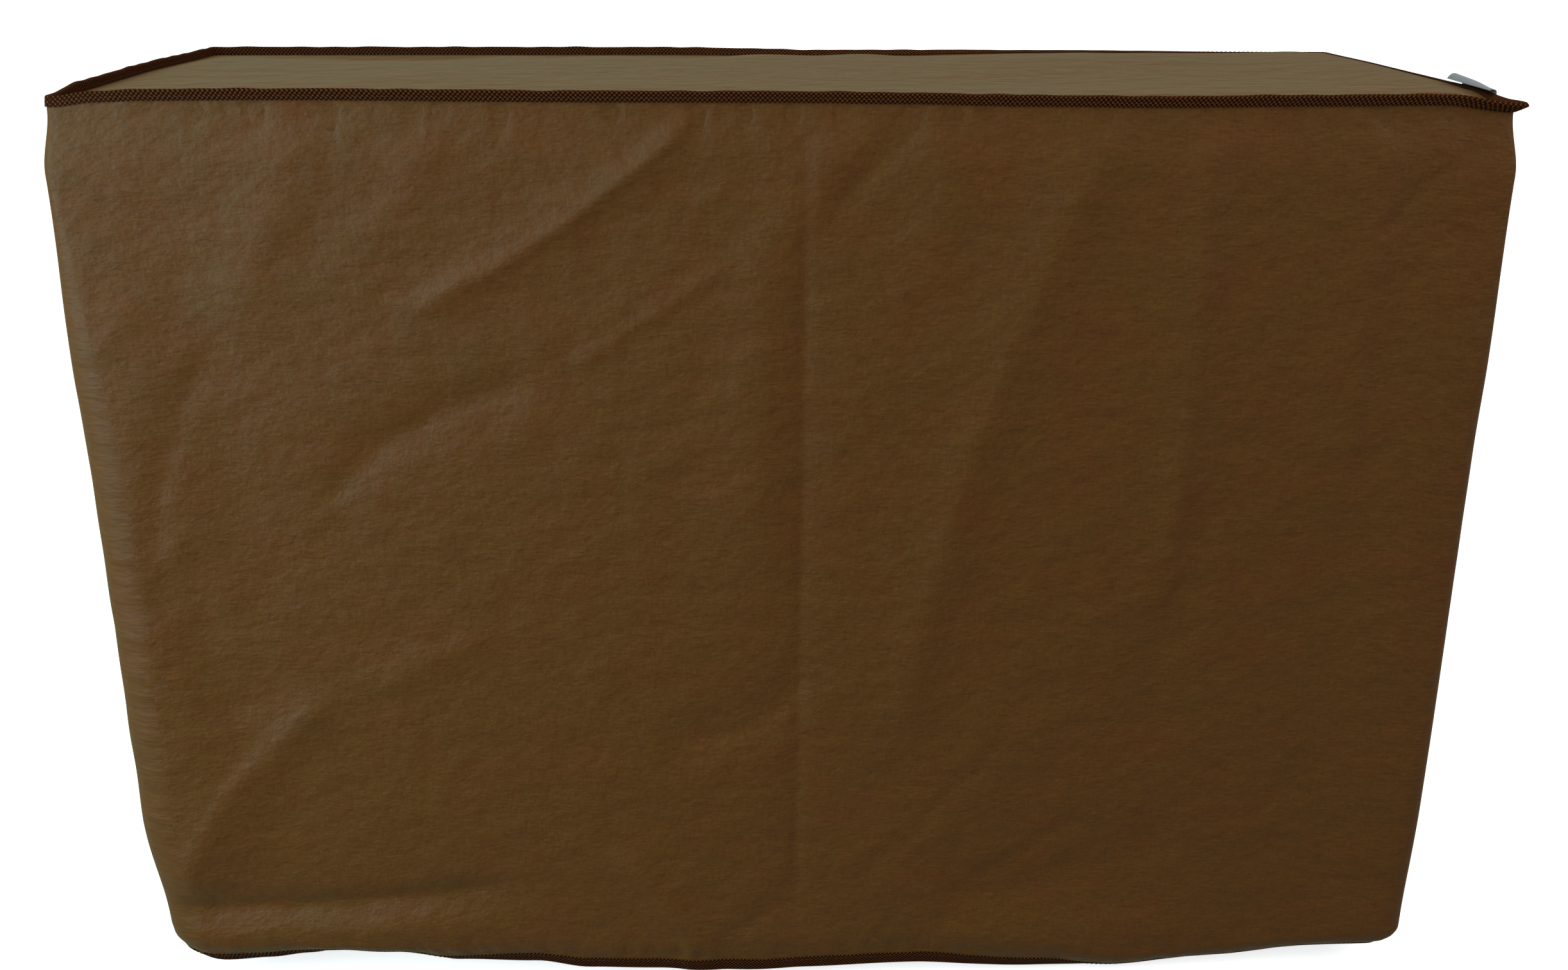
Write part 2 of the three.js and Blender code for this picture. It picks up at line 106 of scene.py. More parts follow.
# The hem's height, how far it rolls inwards in degrees, and the length of wall that rolls. Along the
# front it rolls a little less than the solids' hem, so that the tape shows.
HEM = columns("place height curl roll", [
    (0.0, -1.5, 34, 20), (0.04, -0.5, 42, 18), (0.07, 1.5, 48, 17), (0.105, 4, 65, 13),
    (0.15, 1.5, 65, 13), (0.2, -7, 46, 18), (0.27, -6.5, 28, 20), (0.32, -11.3, 22, 20),
    (0.38, -12, 19, 20), (0.46, -14.7, 17, 20), (0.6, -11, 17, 20), (0.7, -17.3, 30, 20),
    (0.78, -23.5, 58, 20), (0.85, -18.5, 62, 20), (1.0, -8, 60, 20), (1.5, -7, 38, 20),
    (2.0, -8, 30, 20), (2.4, -4, 42, 20), (2.7, -9, 28, 20), (3.0, -4, 30, 20),
    (3.5, 0, 40, 20), (4.0, -1.5, 34, 20),
])

# Broad folds of each side: upper end u and h, lower end u and h, bow, half width and rise. u runs left
# to right as that side is seen from outside, and h is the height over the nominal hem.
FRONT_FOLDS = [
    (190, 580, 72, 185, -12, 26, 3), (244, 590, 240, 270, 3, 19, 2.5),
    (352, 575, 342, 330, 0, 24, 1.9), (402, 500, 386, 200, 0, 20, 1.4),
    (42, 590, 2, 515, 0, 18, 2.2), (95, 585, 78, 470, 0, 17, 1.4),
    (-4, 520, -24, 300, -8, 22, 2.5), (8, 540, 5, 0, 0, 16, -1.4),
    (-60, 575, -215, 468, 6, 15, 1.7), (-165, 420, -290, 345, -9, 16, -1.9),
    (-285, 570, -335, 455, 0, 18, 1.9), (-200, 585, -245, 505, 0, 17, 1.4),
    (-382, 300, -362, 195, 0, 16, -2.2), (-300, 205, -395, 65, -8, 16, 2.5),
    (-198, 248, -268, 212, 0, 16, 1.4), (5, 215, -80, 168, 6, 16, -1.9),
    (-108, 85, -58, 5, 4, 16, 1.9), (160, 190, 55, 55, 0, 22, 1.9),
    (265, 95, 110, 42, 8, 22, -2.8), (262, 330, 240, 150, -6, 18, -1.9),
    (-190, 54, -415, 46, 4, 14, -3.6), (-215, 30, -405, 25, 0, 12, 2.2),
    (290, 14, 110, 8, 0, 18, 1.9),
]
RIGHT_FOLDS = [
    (-60, 570, -85, 230, 8, 24, 4), (40, 575, 75, 120, -8, 28, 4.5), (-10, 300, -40, 20, 0, 26, -4),
]
BACK_FOLDS = [
    (-300, 580, -260, 220, 10, 34, 4.5), (-90, 585, -150, 150, -8, 34, 4),
    (70, 575, 110, 60, 8, 36, -4), (240, 580, 200, 260, 0, 34, 4.5), (340, 300, 240, 30, 0, 34, -4.5),
]
LEFT_FOLDS = [
    (-70, 575, -40, 200, -6, 26, 4.5), (60, 560, 85, 160, 6, 24, -4), (20, 240, 70, 20, 0, 24, 4),
]

# Narrow creases on top of the folds: the pressed centre line, sharp ridges and the marks of packing
FRONT_CREASES = [
    (-60, 577, -220, 468, 8, 6, 2.4), (-40, 490, -130, 430, 0, 5, 1.5),
    (-165, 418, -285, 350, -10, 9, -1.5), (70, 575, 25, 520, 0, 9, -1.5),
    (8, 532, 5, 40, 0, 5, -1.3), (190, 575, 75, 200, -14, 9, 1.3),
    (245, 578, 240, 270, 3, 6, 1.3), (190, 257, 240, 270, 0, 5, 1.2),
    (240, 270, 255, 300, 0, 5, 1.2), (352, 560, 345, 350, 0, 8, 1.0),
    (410, 560, 355, 512, -4, 5, -1.5), (145, 170, 50, 60, 0, 10, -1.6),
    (205, 110, 130, 60, 0, 8, -1.6), (-350, 440, -392, 270, -12, 8, -1.5),
    (-300, 200, -400, 60, -16, 8, 1.5), (-200, 245, -265, 213, 0, 7, 1.2),
    (0, 200, -60, 172, 8, 7, -1.4), (-105, 75, -65, 10, 0, 7, 1.3),
    (0, 45, -50, 10, 0, 9, -1.3), (-180, 530, 5, 531, 0, 3.5, 0.5),
    (50, 530, 200, 529, 0, 3.5, 0.5), (-150, 253, 0, 254, 0, 3.5, -0.5),
    (50, 254, 200, 252, 0, 3.5, -0.5), (-140, 302, -10, 303, 0, 3.5, 0.45),
    (-90, 365, -40, 364, 0, 3.5, 0.45), (5, 172, 60, 173, 0, 3.5, -0.5),
    (150, 404, 210, 403, 0, 3.5, 0.45), (236, 200, 236, 80, 0, 3.5, 0.5),
    (247, 210, 247, 160, 0, 3.5, -0.45), (-195, 60, -408, 46, 5, 7, -1.8),
]
RIGHT_CREASES = [
    (-60, 565, -88, 260, 8, 8, 0.8), (40, 570, 72, 150, -8, 8, 0.8), (-150, 253, 140, 254, 0, 7, -0.5),
    (-140, 530, 150, 529, 0, 7, 0.5),
]
BACK_CREASES = [
    (-5, 560, -2, 30, 0, 9, -0.9), (-300, 570, -262, 240, 10, 9, 0.8), (240, 570, 203, 280, 0, 9, 0.8),
    (-380, 253, 380, 254, 0, 8, -0.5), (-390, 530, 380, 529, 0, 8, 0.5),
]
LEFT_CREASES = [
    (-70, 570, -42, 220, -6, 8, 0.8), (58, 550, 84, 180, 6, 8, -0.8), (-150, 253, 140, 254, 0, 7, -0.5),
    (-140, 530, 150, 529, 0, 7, 0.5),
]

# Short gathers where the cloth is drawn in by the stitching: u of each, and its length in mm
SEAM_GATHERS = [
    [(-345, 22), (-325, 14), (-310, 30), (-280, 18), (-268, 34), (-220, 26), (-205, 16), (-170, 30),
     (-105, 20), (-55, 34), (-40, 18), (-28, 26), (0, 22), (30, 34), (70, 20), (95, 30), (115, 16),
     (185, 30), (245, 36), (300, 16), (352, 24), (390, 14)],
    [(-120, 26), (-70, 34), (-15, 22), (45, 36), (105, 24)],
    [(-370, 30), (-300, 40), (-215, 26), (-140, 34), (-60, 24), (20, 36), (95, 28), (180, 34), (255, 40),
     (350, 26)],
    [(-125, 26), (-60, 38), (0, 22), (65, 36), (120, 28)],
]
HEM_GATHERS = [
    [(-255, 24), (-240, 18), (-220, 30), (-208, 16), (-165, 28), (-150, 18), (-110, 30), (-95, 20),
     (-75, 26), (-60, 16), (-5, 20), (40, 18), (60, 26), (76, 18), (95, 30), (111, 20), (127, 26),
     (190, 20), (265, 26), (330, 18)],
    [(-110, 30), (-45, 24), (30, 34), (100, 26)],
    [(-350, 34), (-260, 26), (-170, 36), (-70, 28), (30, 34), (120, 26), (220, 36), (330, 28)],
    [(-105, 32), (-35, 26), (40, 34), (110, 26)],
]
GATHER_WIDTHS = [4.5, 11, 13, 11]
SEAM_GATHER_DEPTH = 2
HEM_GATHER_DEPTH = 1.9

SIDES = list(zip(
    [FRONT_FOLDS, RIGHT_FOLDS, BACK_FOLDS, LEFT_FOLDS],
    [FRONT_CREASES, RIGHT_CREASES, BACK_CREASES, LEFT_CREASES],
    SEAM_GATHERS, HEM_GATHERS, GATHER_WIDTHS,
))

# Slack of the top panel as mounds: x, y, half width along X and along Y, and rise
TOP_WAVES = [
    (-390, 60, 60, 110, 1.6), (-310, 140, 110, 60, -2.6), (-200, 140, 26, 45, 2.6),
    (-128, 138, 36, 45, 2.2), (-8, 138, 36, 50, 2.8), (62, 136, 26, 45, 2.2),
    (240, 95, 110, 70, 2.8), (395, 20, 34, 150, 4), (140, -60, 120, 50, -1.4),
    (-250, -40, 60, 60, 1.4), (-150, 150, 330, 45, -4),
]

# The label's ends along the seam, how much of its height over its foot it keeps at its front end and
# at its back end, and its section across the seam
LABEL_Y = (-124, -62)
LABEL_LIFT = (0.25, 1.2)
LABEL_FOOT = 4.2
LABEL_THICKNESS = 0.45
LABEL_LINE = [
    (0.8, 5.4), (2.2, 7.5), (4.8, 8.6), (8, 7.9), (10.8, 5.2), (12.2, 0.6), (12.6, -6), (12.6, -13),
]

# Mesh density: rows down the wall, round the rolled hem and under the hem's tape, rows of the skirt's
# inner face, and the columns along each side and round each corner of the pieces but the skirt
WALL_ROWS = 154
CURL_ROWS = 12
TAPE_ROWS = 4
INNER_ROWS = 44
FINE_COLUMNS = [200, 80, 200, 80]
FINE_CORNER = 8


def smooth(t):
    """Smoothstep of t, held between 0 and 1: t * t * (3 - 2 t)."""
    t = np.clip(t, 0, 1)
    return t * t * (3 - 2 * t)


def mix(a, b, t):
    """The point a share t of the way from a to b."""
    return a + (b - a) * t


def look_up(table, column, place):
    """Value of a table's column at a place, eased from row to row by smoothstep."""
    places = table["place"]
    k = np.clip(np.searchsorted(places, place), 1, len(places) - 1)
    share = (place - places[k - 1]) / (places[k] - places[k - 1])
    return mix(table[column][k - 1], table[column][k], smooth(share))


def make_stations(sides, corner):
    """Stations round the plan, anticlockwise: the given shares along each side, then even turns."""
    side, along, turn = [], [], []
    for k, shares in enumerate(sides):
        side += [k] * (len(shares) + corner)
        along += [*shares] + [1.0] * corner
        turn += [0.0] * len(shares) + [*np.arange(corner) / corner]
    side, along, turn = (np.array(a, float)[:, None] for a in (side, along, turn))
    return {"side": side.astype(int), "along": along, "turn": turn, "place": side + along}


def even(count):
    """Even shares from 0 up to, and without, 1."""
    return np.arange(count) / count


def plan_point(stations, n, radii):
    """Plan point of the rounded rectangle that stands n outside the seam's: it runs straight between
    its two corner radii, and then turns by the angle of the station."""
    side, along, turn = stations["side"], stations["along"], stations["turn"] * np.pi / 2
    before, after = radii
    quarter = side * np.pi / 2
    reach = np.where(side % 2, LENGTH, DEPTH) / 2 + n
    half = np.where(side % 2, DEPTH, LENGTH) / 2 + n
    corner = along == 1
    out = np.where(corner, reach - after + after * np.cos(turn), reach)
    u = np.where(corner, half - after + after * np.sin(turn), mix(before - half, half - after, along))
    x = np.sin(quarter) * out + np.cos(quarter) * u
    y = -np.cos(quarter) * out + np.sin(quarter) * u
    return x, y


def wall_radii(stations, depth):
    """Radii of the corners before and after each station, growing with the depth below the seam."""
    share = smooth(depth / RADIUS_DEPTH)
    side = stations["side"]
    return [mix(SEAM_RADIUS, LOWER_RADII[k], share) for k in ((side + 3) % 4, side)]


def placed(stations, n, z):
    """Points of sections n, z at their stations, as one array of x, y and z."""
    n, z = np.broadcast_arrays(n, z)
    x, y = plan_point(stations, n, wall_radii(stations, -z))
    return np.stack([x, y, z + look_up(SEAM, "height", stations["place"])], axis=-1)


def fold_sum(folds, u, h, sharp=False):
    """Sum of folds. Each rises over a bowed line as exp(-a^2), where a is the distance across it in
    half widths, or as exp(1 - sqrt(1 + 4 a^2)) where it is a sharp crease, and fades at its ends."""
    total = np.zeros_like(u * h)
    for top_u, top_h, low_u, low_h, bow, width, rise in folds:
        du, dh = low_u - top_u, low_h - top_h
        length = math.hypot(du, dh)
        t = ((u - top_u) * du + (h - top_h) * dh) / length**2
        across = ((h - top_h) * du - (u - top_u) * dh) / length - 4 * bow * t * (1 - t)
        ends = smooth(0.5 + t / END_FADE) * smooth(0.5 + (1 - t) / END_FADE)
        a2 = (across / width) ** 2
        shape = np.exp(1 - np.sqrt(1 + 4 * a2)) if sharp else np.exp(-a2)
        total = total + rise * shape * ends
    return total


def gather_sum(gathers, width, depth, u, away):
    """Sum of short gathers, each exp(-a^2) across and fading out over its length away from the tape."""
    total = np.zeros_like(u * away)
    for at, length in gathers:
        total = total + np.exp(-(((u - at) / width) ** 2)) * (1 - smooth(away / length))
    return -depth * total


def ripple(a, b, seed, shortest, longest, count=14):
    """Slight unevenness of hung cloth: a sum of sine waves in seeded directions, within about +-1."""
    rng = np.random.default_rng(seed)
    total = np.zeros_like(a * b)
    for _ in range(count):
        angle, phase = rng.uniform(0, 2 * np.pi, 2)
        wave = 2 * np.pi / rng.uniform(shortest, longest)
        total = total + np.sin((a * np.cos(angle) + b * np.sin(angle)) * wave + phase)
    return total / math.sqrt(2 * count)


def relief(stations, depth, seam, to_tape):
    """How far the wall's folds, creases and gathers stand out: broad folds fade under the seam, and
    all of it fades towards the upright corners. Returns the folds alone, and the finer relief."""
    x, y = plan_point(stations, 0, wall_radii(stations, depth))
    h = DROP + seam - depth
    broad = np.zeros_like(x)
    fine = np.zeros_like(x)
    for side, (folds, creases, seam_gathers, hem_gathers, width) in enumerate(SIDES):
        quarter = side * np.pi / 2
        u = x * np.cos(quarter) + y * np.sin(quarter)
        half = (DEPTH if side % 2 else LENGTH) / 2
        facing = x * np.sin(quarter) - y * np.cos(quarter) > 0
        edge = smooth((half - np.abs(u)) / CORNER_FADE) * facing
        broad += fold_sum(folds, u, h) * edge
        fine += fold_sum(creases, u, h, sharp=True) * smooth(depth / 10) * edge
        fine += gather_sum(seam_gathers, width, SEAM_GATHER_DEPTH, u, depth) * smooth(depth / 4) * edge
        fine += gather_sum(hem_gathers, width, HEM_GATHER_DEPTH, u, to_tape) * smooth(to_tape / 6) * edge
        fine += 0.3 * ripple(u, h, 11 + side, 34, 110) * smooth(depth / 30) * edge * facing
    return broad * smooth(depth / SEAM_FADE), fine


def wall_stand(place, depth):
    """How far the wall stands out at a depth, without its folds, eased between the table's depths."""
    stand = 0
    start = 0
    for column, end in WALL_DEPTHS.items():
        stand = mix(stand, look_up(WALLS, column, place), smooth((depth - start) / (end - start)))
        start = end
    return stand


def wall_line(stations, fine_share=1.0):
    """The skirt's outer face as n, z from below the seam to its free edge: rows down the wall, rows
    round the arc of the rolled hem, and rows down the straight stretch under the tape."""
    place = stations["place"]
    seam = look_up(SEAM, "height", place)
    curl = np.radians(look_up(HEM, "curl", place))
    roll = look_up(HEM, "roll", place)
    radius = roll / curl
    hem = look_up(HEM, "height", place) - DROP - seam
    wall = -hem - radius * np.sin(curl) - HEM_TAPE * np.cos(curl)
    share = np.arange(1, WALL_ROWS + 1) / WALL_ROWS
    depth = wall * mix(share, smooth(share), 0.35)
    broad, fine = relief(stations, depth, seam, wall - depth + roll)
    n = wall_stand(place, depth) + broad
    last = n[:, -1:]
    turned = np.arange(1, CURL_ROWS + 1) / CURL_ROWS
    angle = curl * turned
    curl_n = last - radius * (1 - np.cos(angle))
    curl_z = -wall - radius * np.sin(angle)
    fine_curl = relief(stations, wall + 0 * angle, seam, roll * (1 - turned))[1]
    down = HEM_TAPE * np.arange(1, TAPE_ROWS + 1) / TAPE_ROWS
    tape_n = curl_n[:, -1:] - down * np.sin(curl)
    tape_z = curl_z[:, -1:] - down * np.cos(curl)
    fine_tape = mix(fine_curl[:, -1:], 0.6 * fine_curl[:, -1:], down / HEM_TAPE)
    bare_n = np.hstack([n, curl_n, tape_n])
    fine_n = np.hstack([fine, fine_curl, fine_tape])
    return bare_n + fine_share * fine_n, np.hstack([-depth, curl_z, tape_z])


def offset(n, z, distance):
    """Lines moved to their left by a distance, with mitred bends: (a + b) * distance / (1 + a . b),
    where a and b are the normals before and after each point."""
    dn, dz = np.diff(n), np.diff(z)
    length = np.hypot(dn, dz)
    an, az = -dz / length, dn / length
    bn, bz = np.hstack([an, an[:, -1:]]), np.hstack([az, az[:, -1:]])
    an, az = np.hstack([an[:, :1], an]), np.hstack([az[:, :1], az])
    scale = distance / (1 + an * bn + az * bz)
    return n + (an + bn) * scale, z + (az + bz) * scale


def flange_line(stations, heights):
    """Outer face of the flange at heights up it: n = h sin(lean), z = h cos(lean)."""
    lean = np.radians(look_up(SEAM, "lean", stations["place"]))
    heights = np.array(heights, float)
    return heights * np.sin(lean), heights * np.cos(lean)


def top_height(x, y):
    """Height of the top panel's underside inside its edges: the crown plus the sum of its mounds."""
    z = CROWN
    for wave_x, wave_y, wide_x, wide_y, rise in TOP_WAVES:
        z = z + rise * np.exp(-(((x - wave_x) / wide_x) ** 2) - ((y - wave_y) / wide_y) ** 2)
    return z


TOP_MIDDLE = top_height(0, 0)


def grid_quads(stations, rows, start=0, flip=False, ring=True):
    """Quads of a grid of stations by rows, whose stations close into a ring, and their corners' own
    indices in the grid with one station more, for the pattern's coordinates."""
    i, j = np.meshgrid(np.arange(stations if ring else stations - 1), np.arange(rows - 1), indexing="ij")
    i, j = i.ravel(), j.ravel()
    corners = [(i, j), (i, j + 1), (i + 1, j + 1), (i + 1, j)]
    if flip:
        corners = corners[::-1]
    quads = np.stack([start + (a % stations) * rows + b for a, b in corners], axis=1)
    own = np.stack([a * rows + b for a, b in corners], axis=1)
    return quads, own


def bridge_quads(first, second):
    """Quads between two rings of equal length, given as vertex indices."""
    return np.stack([first, np.roll(first, -1), np.roll(second, -1), second], axis=1)


def closed_uv(uv):
    """Pattern coordinates with the first station repeated at the far end of the round."""
    end = uv[:1].copy()
    step = np.hypot(*(uv[1, 0] - uv[0, 0]))
    end[..., 0] = uv[-1, 0, 0] + step
    return np.concatenate([uv, end])


def make_mesh(name, points, quads, uv, material, sharp=50, metres=0.001):
    """A mesh piece from points in mm, quads and the pattern coordinates of each quad's corners."""
    mesh = bpy.data.meshes.new(name)
    points = (np.asarray(points, float).reshape(-1, 3) - (0, 0, TOP_MIDDLE)) * metres
    mesh.vertices.add(len(points))
    mesh.vertices.foreach_set("co", points.ravel())
    mesh.loops.add(quads.size)
    mesh.loops.foreach_set("vertex_index", quads.ravel().astype(np.int32))
    mesh.polygons.add(len(quads))
    mesh.polygons.foreach_set("loop_start", np.arange(0, quads.size, quads.shape[1], dtype=np.int32))
    mesh.update(calc_edges=True)
    mesh.uv_layers.new(name="pattern")
    mesh.uv_layers["pattern"].data.foreach_set("uv", (uv.reshape(-1, 2) * metres).ravel())
    mesh.polygons.foreach_set("use_smooth", np.ones(len(quads), bool))
    mesh.set_sharp_from_angle(angle=math.radians(sharp))
    mesh.validate()
    mesh.materials.append(material)
    piece = bpy.data.objects.new(name, mesh)
    scene.collection.objects.link(piece)
    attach(piece, "root")
    return piece


def two_faced(name, outer, inner, uv, material):
    """A closed sheet from its outer and inner faces, rings of stations by rows with their own counts of
    rows, joined along their first and last rows."""
    count, rows = outer.shape[:2]
    inner_rows = inner.shape[1]
    start = count * rows
    outer_quads, outer_own = grid_quads(count, rows)
    inner_quads, inner_own = grid_quads(count, inner_rows, start, flip=True)
    ids = np.arange(count)
    first = bridge_quads(ids * rows, start + ids * inner_rows)
    last = bridge_quads(start + ids * inner_rows + inner_rows - 1, ids * rows + rows - 1)
    uv_outer = closed_uv(uv).reshape(-1, 2)
    pick = np.round(np.linspace(0, rows - 1, inner_rows)).astype(int)
    uv_inner = closed_uv(uv[:, pick]).reshape(-1, 2)
    far = np.append(ids[1:], count)
    uv_first = uv_outer[np.stack([ids, far, far, ids], axis=1) * rows]
    uv_last = uv_outer[np.stack([ids, far, far, ids], axis=1) * rows + rows - 1]
    return make_mesh(
        name,
        np.concatenate([outer.reshape(-1, 3), inner.reshape(-1, 3)]),
        np.concatenate([outer_quads, inner_quads, first, last]),
        np.concatenate([uv_outer[outer_own], uv_inner[inner_own], uv_first, uv_last]),
        material,
    )


def round_length(stations):
    """Distance round the seam's plan at each station, in mm."""
    x, y = plan_point(stations, 0, wall_radii(stations, 0 * stations["along"]))
    return np.concatenate([[0], np.cumsum(np.hypot(np.diff(x[:, 0]), np.diff(y[:, 0])))])


# Materials

def linear(hex_colour):
    """An sRGB hex colour as linear red, green, blue and alpha."""
    parts = [int(hex_colour[k:k + 2], 16) / 255 for k in (1, 3, 5)]
    return [c / 12.92 if c <= 0.04045 else ((c + 0.055) / 1.055) ** 2.4 for c in parts] + [1]


def add(tree, kind, inputs=None, **settings):
    """Adds a node with its settings, and its inputs as values or as sockets to link from. Where sockets
    share names they go by number: 1 to 4 of Map Range are the two ends it maps from and the two it maps
    to, and 0, 6 and 7 of Mix are its factor and its two colours."""
    node = tree.nodes.new(kind)
    for key, value in settings.items():
        setattr(node, key, value)
    for key, value in (inputs or {}).items():
        if isinstance(value, bpy.types.NodeSocket):
            tree.links.new(value, node.inputs[key])
        else:
            node.inputs[key].default_value = value
    return node


def new_material(name):
    """An empty node material with its shader, which is returned with the tree."""
    material = bpy.data.materials.new(name)
    material.use_nodes = True
    tree = material.node_tree
    shader = tree.nodes["Principled BSDF"]
    return material, tree, shader


def blend(tree, factor, a, b, kind="MIX"):
    """Colour a turned towards colour b by a factor."""
    node = add(tree, "ShaderNodeMix", {0: factor, 6: a, 7: b}, data_type="RGBA", blend_type=kind)
    return node.outputs[2]


def noise(tree, coordinates, size, detail=2.0, rough=0.5):
    """Noise over coordinates in metres, with features of about the given sizes in mm."""
    scale = [1000 / s for s in size]
    placed_at = add(tree, "ShaderNodeMapping", {"Vector": coordinates, "Scale": scale})
    inputs = {"Vector": placed_at.outputs[0], "Scale": 1.0, "Detail": detail, "Roughness": rough}
    return add(tree, "ShaderNodeTexNoise", inputs).outputs[0]


def coated_cloth():
    """Plain-woven polyester with a thin coating inside: uneven horizontal threads and a soft sheen."""
    material, tree, shader = new_material("coated_woven_polyester_brown")
    uv = add(tree, "ShaderNodeTexCoord").outputs["UV"]
    clouds = noise(tree, uv, (58, 46, 50), 3, 0.6)
    mottle = add(tree, "ShaderNodeMapRange", {"Value": clouds, 1: 0.32, 2: 0.68, 3: 0.0, 4: 1.0},
                 interpolation_type="SMOOTHSTEP").outputs[0]
    # Threads are 0.4 mm apart. They are drawn 1.3 mm thick so that they show.
    weft = noise(tree, uv, (9, 1.3, 10), 2, 0.6)
    warp = noise(tree, uv, (1.6, 9, 10), 2, 0.6)
    grain = noise(tree, uv, (2.2, 2.2, 2.2), 2, 0.6)
    threads = add(tree, "ShaderNodeMath", {0: warp, 1: 0.6, 2: weft},
                  operation="MULTIPLY_ADD").outputs[0]
    patches = noise(tree, uv, (16, 9, 12), 3, 0.65)
    speckle = add(tree, "ShaderNodeMath", {0: grain, 1: threads}, operation="ADD").outputs[0]
    uneven = add(tree, "ShaderNodeMath", {0: patches, 1: 0.5, 2: speckle},
                 operation="MULTIPLY_ADD").outputs[0]
    brown = blend(tree, mottle, linear("#62340b"), linear("#5b370c"))
    brown = blend(tree, patches, brown, linear("#5b390e"))
    tone = add(tree, "ShaderNodeMapRange", {"Value": uneven, 1: 1.05, 2: 2.05, 3: 0.73, 4: 1.27}).outputs[0]
    grey = add(tree, "ShaderNodeCombineColor", {0: tone, 1: tone, 2: tone}).outputs[0]
    tree.links.new(blend(tree, 1.0, brown, grey, "MULTIPLY"), shader.inputs["Base Color"])
    rough = add(tree, "ShaderNodeMapRange", {"Value": weft, 1: 0.3, 2: 0.7, 3: 0.5, 4: 0.64}).outputs[0]
    tree.links.new(rough, shader.inputs["Roughness"])
    crumple = noise(tree, uv, (30, 22, 26), 4, 0.6)
    crumpled = add(tree, "ShaderNodeBump", {"Height": crumple, "Strength": 1.0, "Distance": 0.0031})
    bump = add(tree, "ShaderNodeBump", {
        "Height": threads, "Strength": 0.4, "Distance": 0.0004, "Normal": crumpled.outputs[0]})
    tree.links.new(bump.outputs[0], shader.inputs["Normal"])
    shader.inputs["Specular IOR Level"].default_value = 0.24
    shader.inputs["Sheen Weight"].default_value = 0.16
    shader.inputs["Sheen Roughness"].default_value = 0.4
    shader.inputs["Sheen Tint"].default_value = linear("#d0e0b4")
    return material


def embossed_tape():
    """Non-woven polypropylene tape: matt dark felted fibres, pressed flat in staggered dots."""
    material, tree, shader = new_material("non_woven_tape_dark_brown")
    uv = add(tree, "ShaderNodeTexCoord").outputs["UV"]
    # The dots are 1.9 mm apart. They are drawn 2.8 mm apart so that they show.
    scale = 1000 / (2.8 / math.sqrt(2))
    turned = add(tree, "ShaderNodeMapping", {
        "Vector": uv, "Rotation": (0, 0, math.pi / 4), "Scale": (scale, scale, scale)})
    dots = {"Vector": turned.outputs[0], "Scale": 1.0, "Randomness": 0.0}
    distance = add(tree, "ShaderNodeTexVoronoi", dots, voronoi_dimensions="2D").outputs["Distance"]
    raised = add(tree, "ShaderNodeMapRange", {"Value": distance, 1: 0.34, 2: 0.56, 3: 0.0, 4: 1.0},
                 interpolation_type="SMOOTHSTEP").outputs[0]
    fibres = noise(tree, uv, (1.4, 1.4, 1.4), 3, 0.6)
    body = blend(tree, fibres, linear("#5c2d0e"), linear("#824a1c"))
    tree.links.new(blend(tree, raised, linear("#1a0802"), body), shader.inputs["Base Color"])
    height = add(tree, "ShaderNodeMath", {0: fibres, 1: 0.35, 2: raised},
                 operation="MULTIPLY_ADD").outputs[0]
    bump = add(tree, "ShaderNodeBump", {"Height": height, "Strength": 1.0, "Distance": 0.0006})
    tree.links.new(bump.outputs[0], shader.inputs["Normal"])
    shader.inputs["Roughness"].default_value = 0.7
    shader.inputs["Specular IOR Level"].default_value = 0.06
    return material


def satin_ribbon_with_painted_shade():
    """White polyester satin ribbon, slit and blank: smooth along its length, with very fine ribs. Its base
    colour is a mid grey, well below white: painted shade.
    """
    material, tree, shader = new_material("white_satin_ribbon_with_painted_shade")
    uv = add(tree, "ShaderNodeTexCoord").outputs["UV"]
    ribs = noise(tree, uv, (0.9, 14, 5), 2, 0.5)
    # The grey base colour is painted shade: the white ribbon is drawn darker than it is.
    tree.links.new(blend(tree, ribs, linear("#7b7c7e"), linear("#88898b")), shader.inputs["Base Color"])
    bump = add(tree, "ShaderNodeBump", {"Height": ribs, "Strength": 0.25, "Distance": 0.0002})
    tree.links.new(bump.outputs[0], shader.inputs["Normal"])
    shader.inputs["Roughness"].default_value = 0.38
    shader.inputs["Sheen Weight"].default_value = 0.15
    return material


def sewing_thread():
    """Spun polyester sewing thread, dark brown, with a slight twist that breaks up its gloss."""
    material, tree, shader = new_material("spun_polyester_thread_brown")
    place_on = add(tree, "ShaderNodeTexCoord").outputs["Object"]
    twist = noise(tree, place_on, (0.6, 0.6, 0.6), 2, 0.5)
    tree.links.new(blend(tree, twist, linear("#2a1409"), linear("#472812")), shader.inputs["Base Color"])
    shader.inputs["Roughness"].default_value = 0.55
    return material


def paper_floor():
    """Matt white background paper, lit evenly from behind, in which soft shadows drown."""
    material, tree, shader = new_material("back_lit_white_paper")
    place_on = add(tree, "ShaderNodeTexCoord").outputs["Object"]
    grain = noise(tree, place_on, (400, 400, 400), 2, 0.5)
    tree.links.new(blend(tree, grain, linear("#f7f7f6"), linear("#fafaf9")), shader.inputs["Base Color"])
    shader.inputs["Roughness"].default_value = 1.0
    shader.inputs["Specular IOR Level"].default_value = 0.0
    shader.inputs["Emission Color"].default_value = linear("#ffffff")
    shader.inputs["Emission Strength"].default_value = 0.75
    return material


cloth_finish = coated_cloth()
tape_finish = embossed_tape()
label_finish = satin_ribbon_with_painted_shade()
thread_finish = sewing_thread()

# Stations of the skirt stand closer together where the front's narrow creases are.
front_shares = np.interp(np.arange(252), [0, 38, 160, 252], [0, 160 / LENGTH, 455 / LENGTH, 1])
skirt_stations = make_stations([front_shares, even(34), even(64), even(34)], 5)
fine_stations = make_stations([even(count) for count in FINE_COLUMNS], FINE_CORNER)


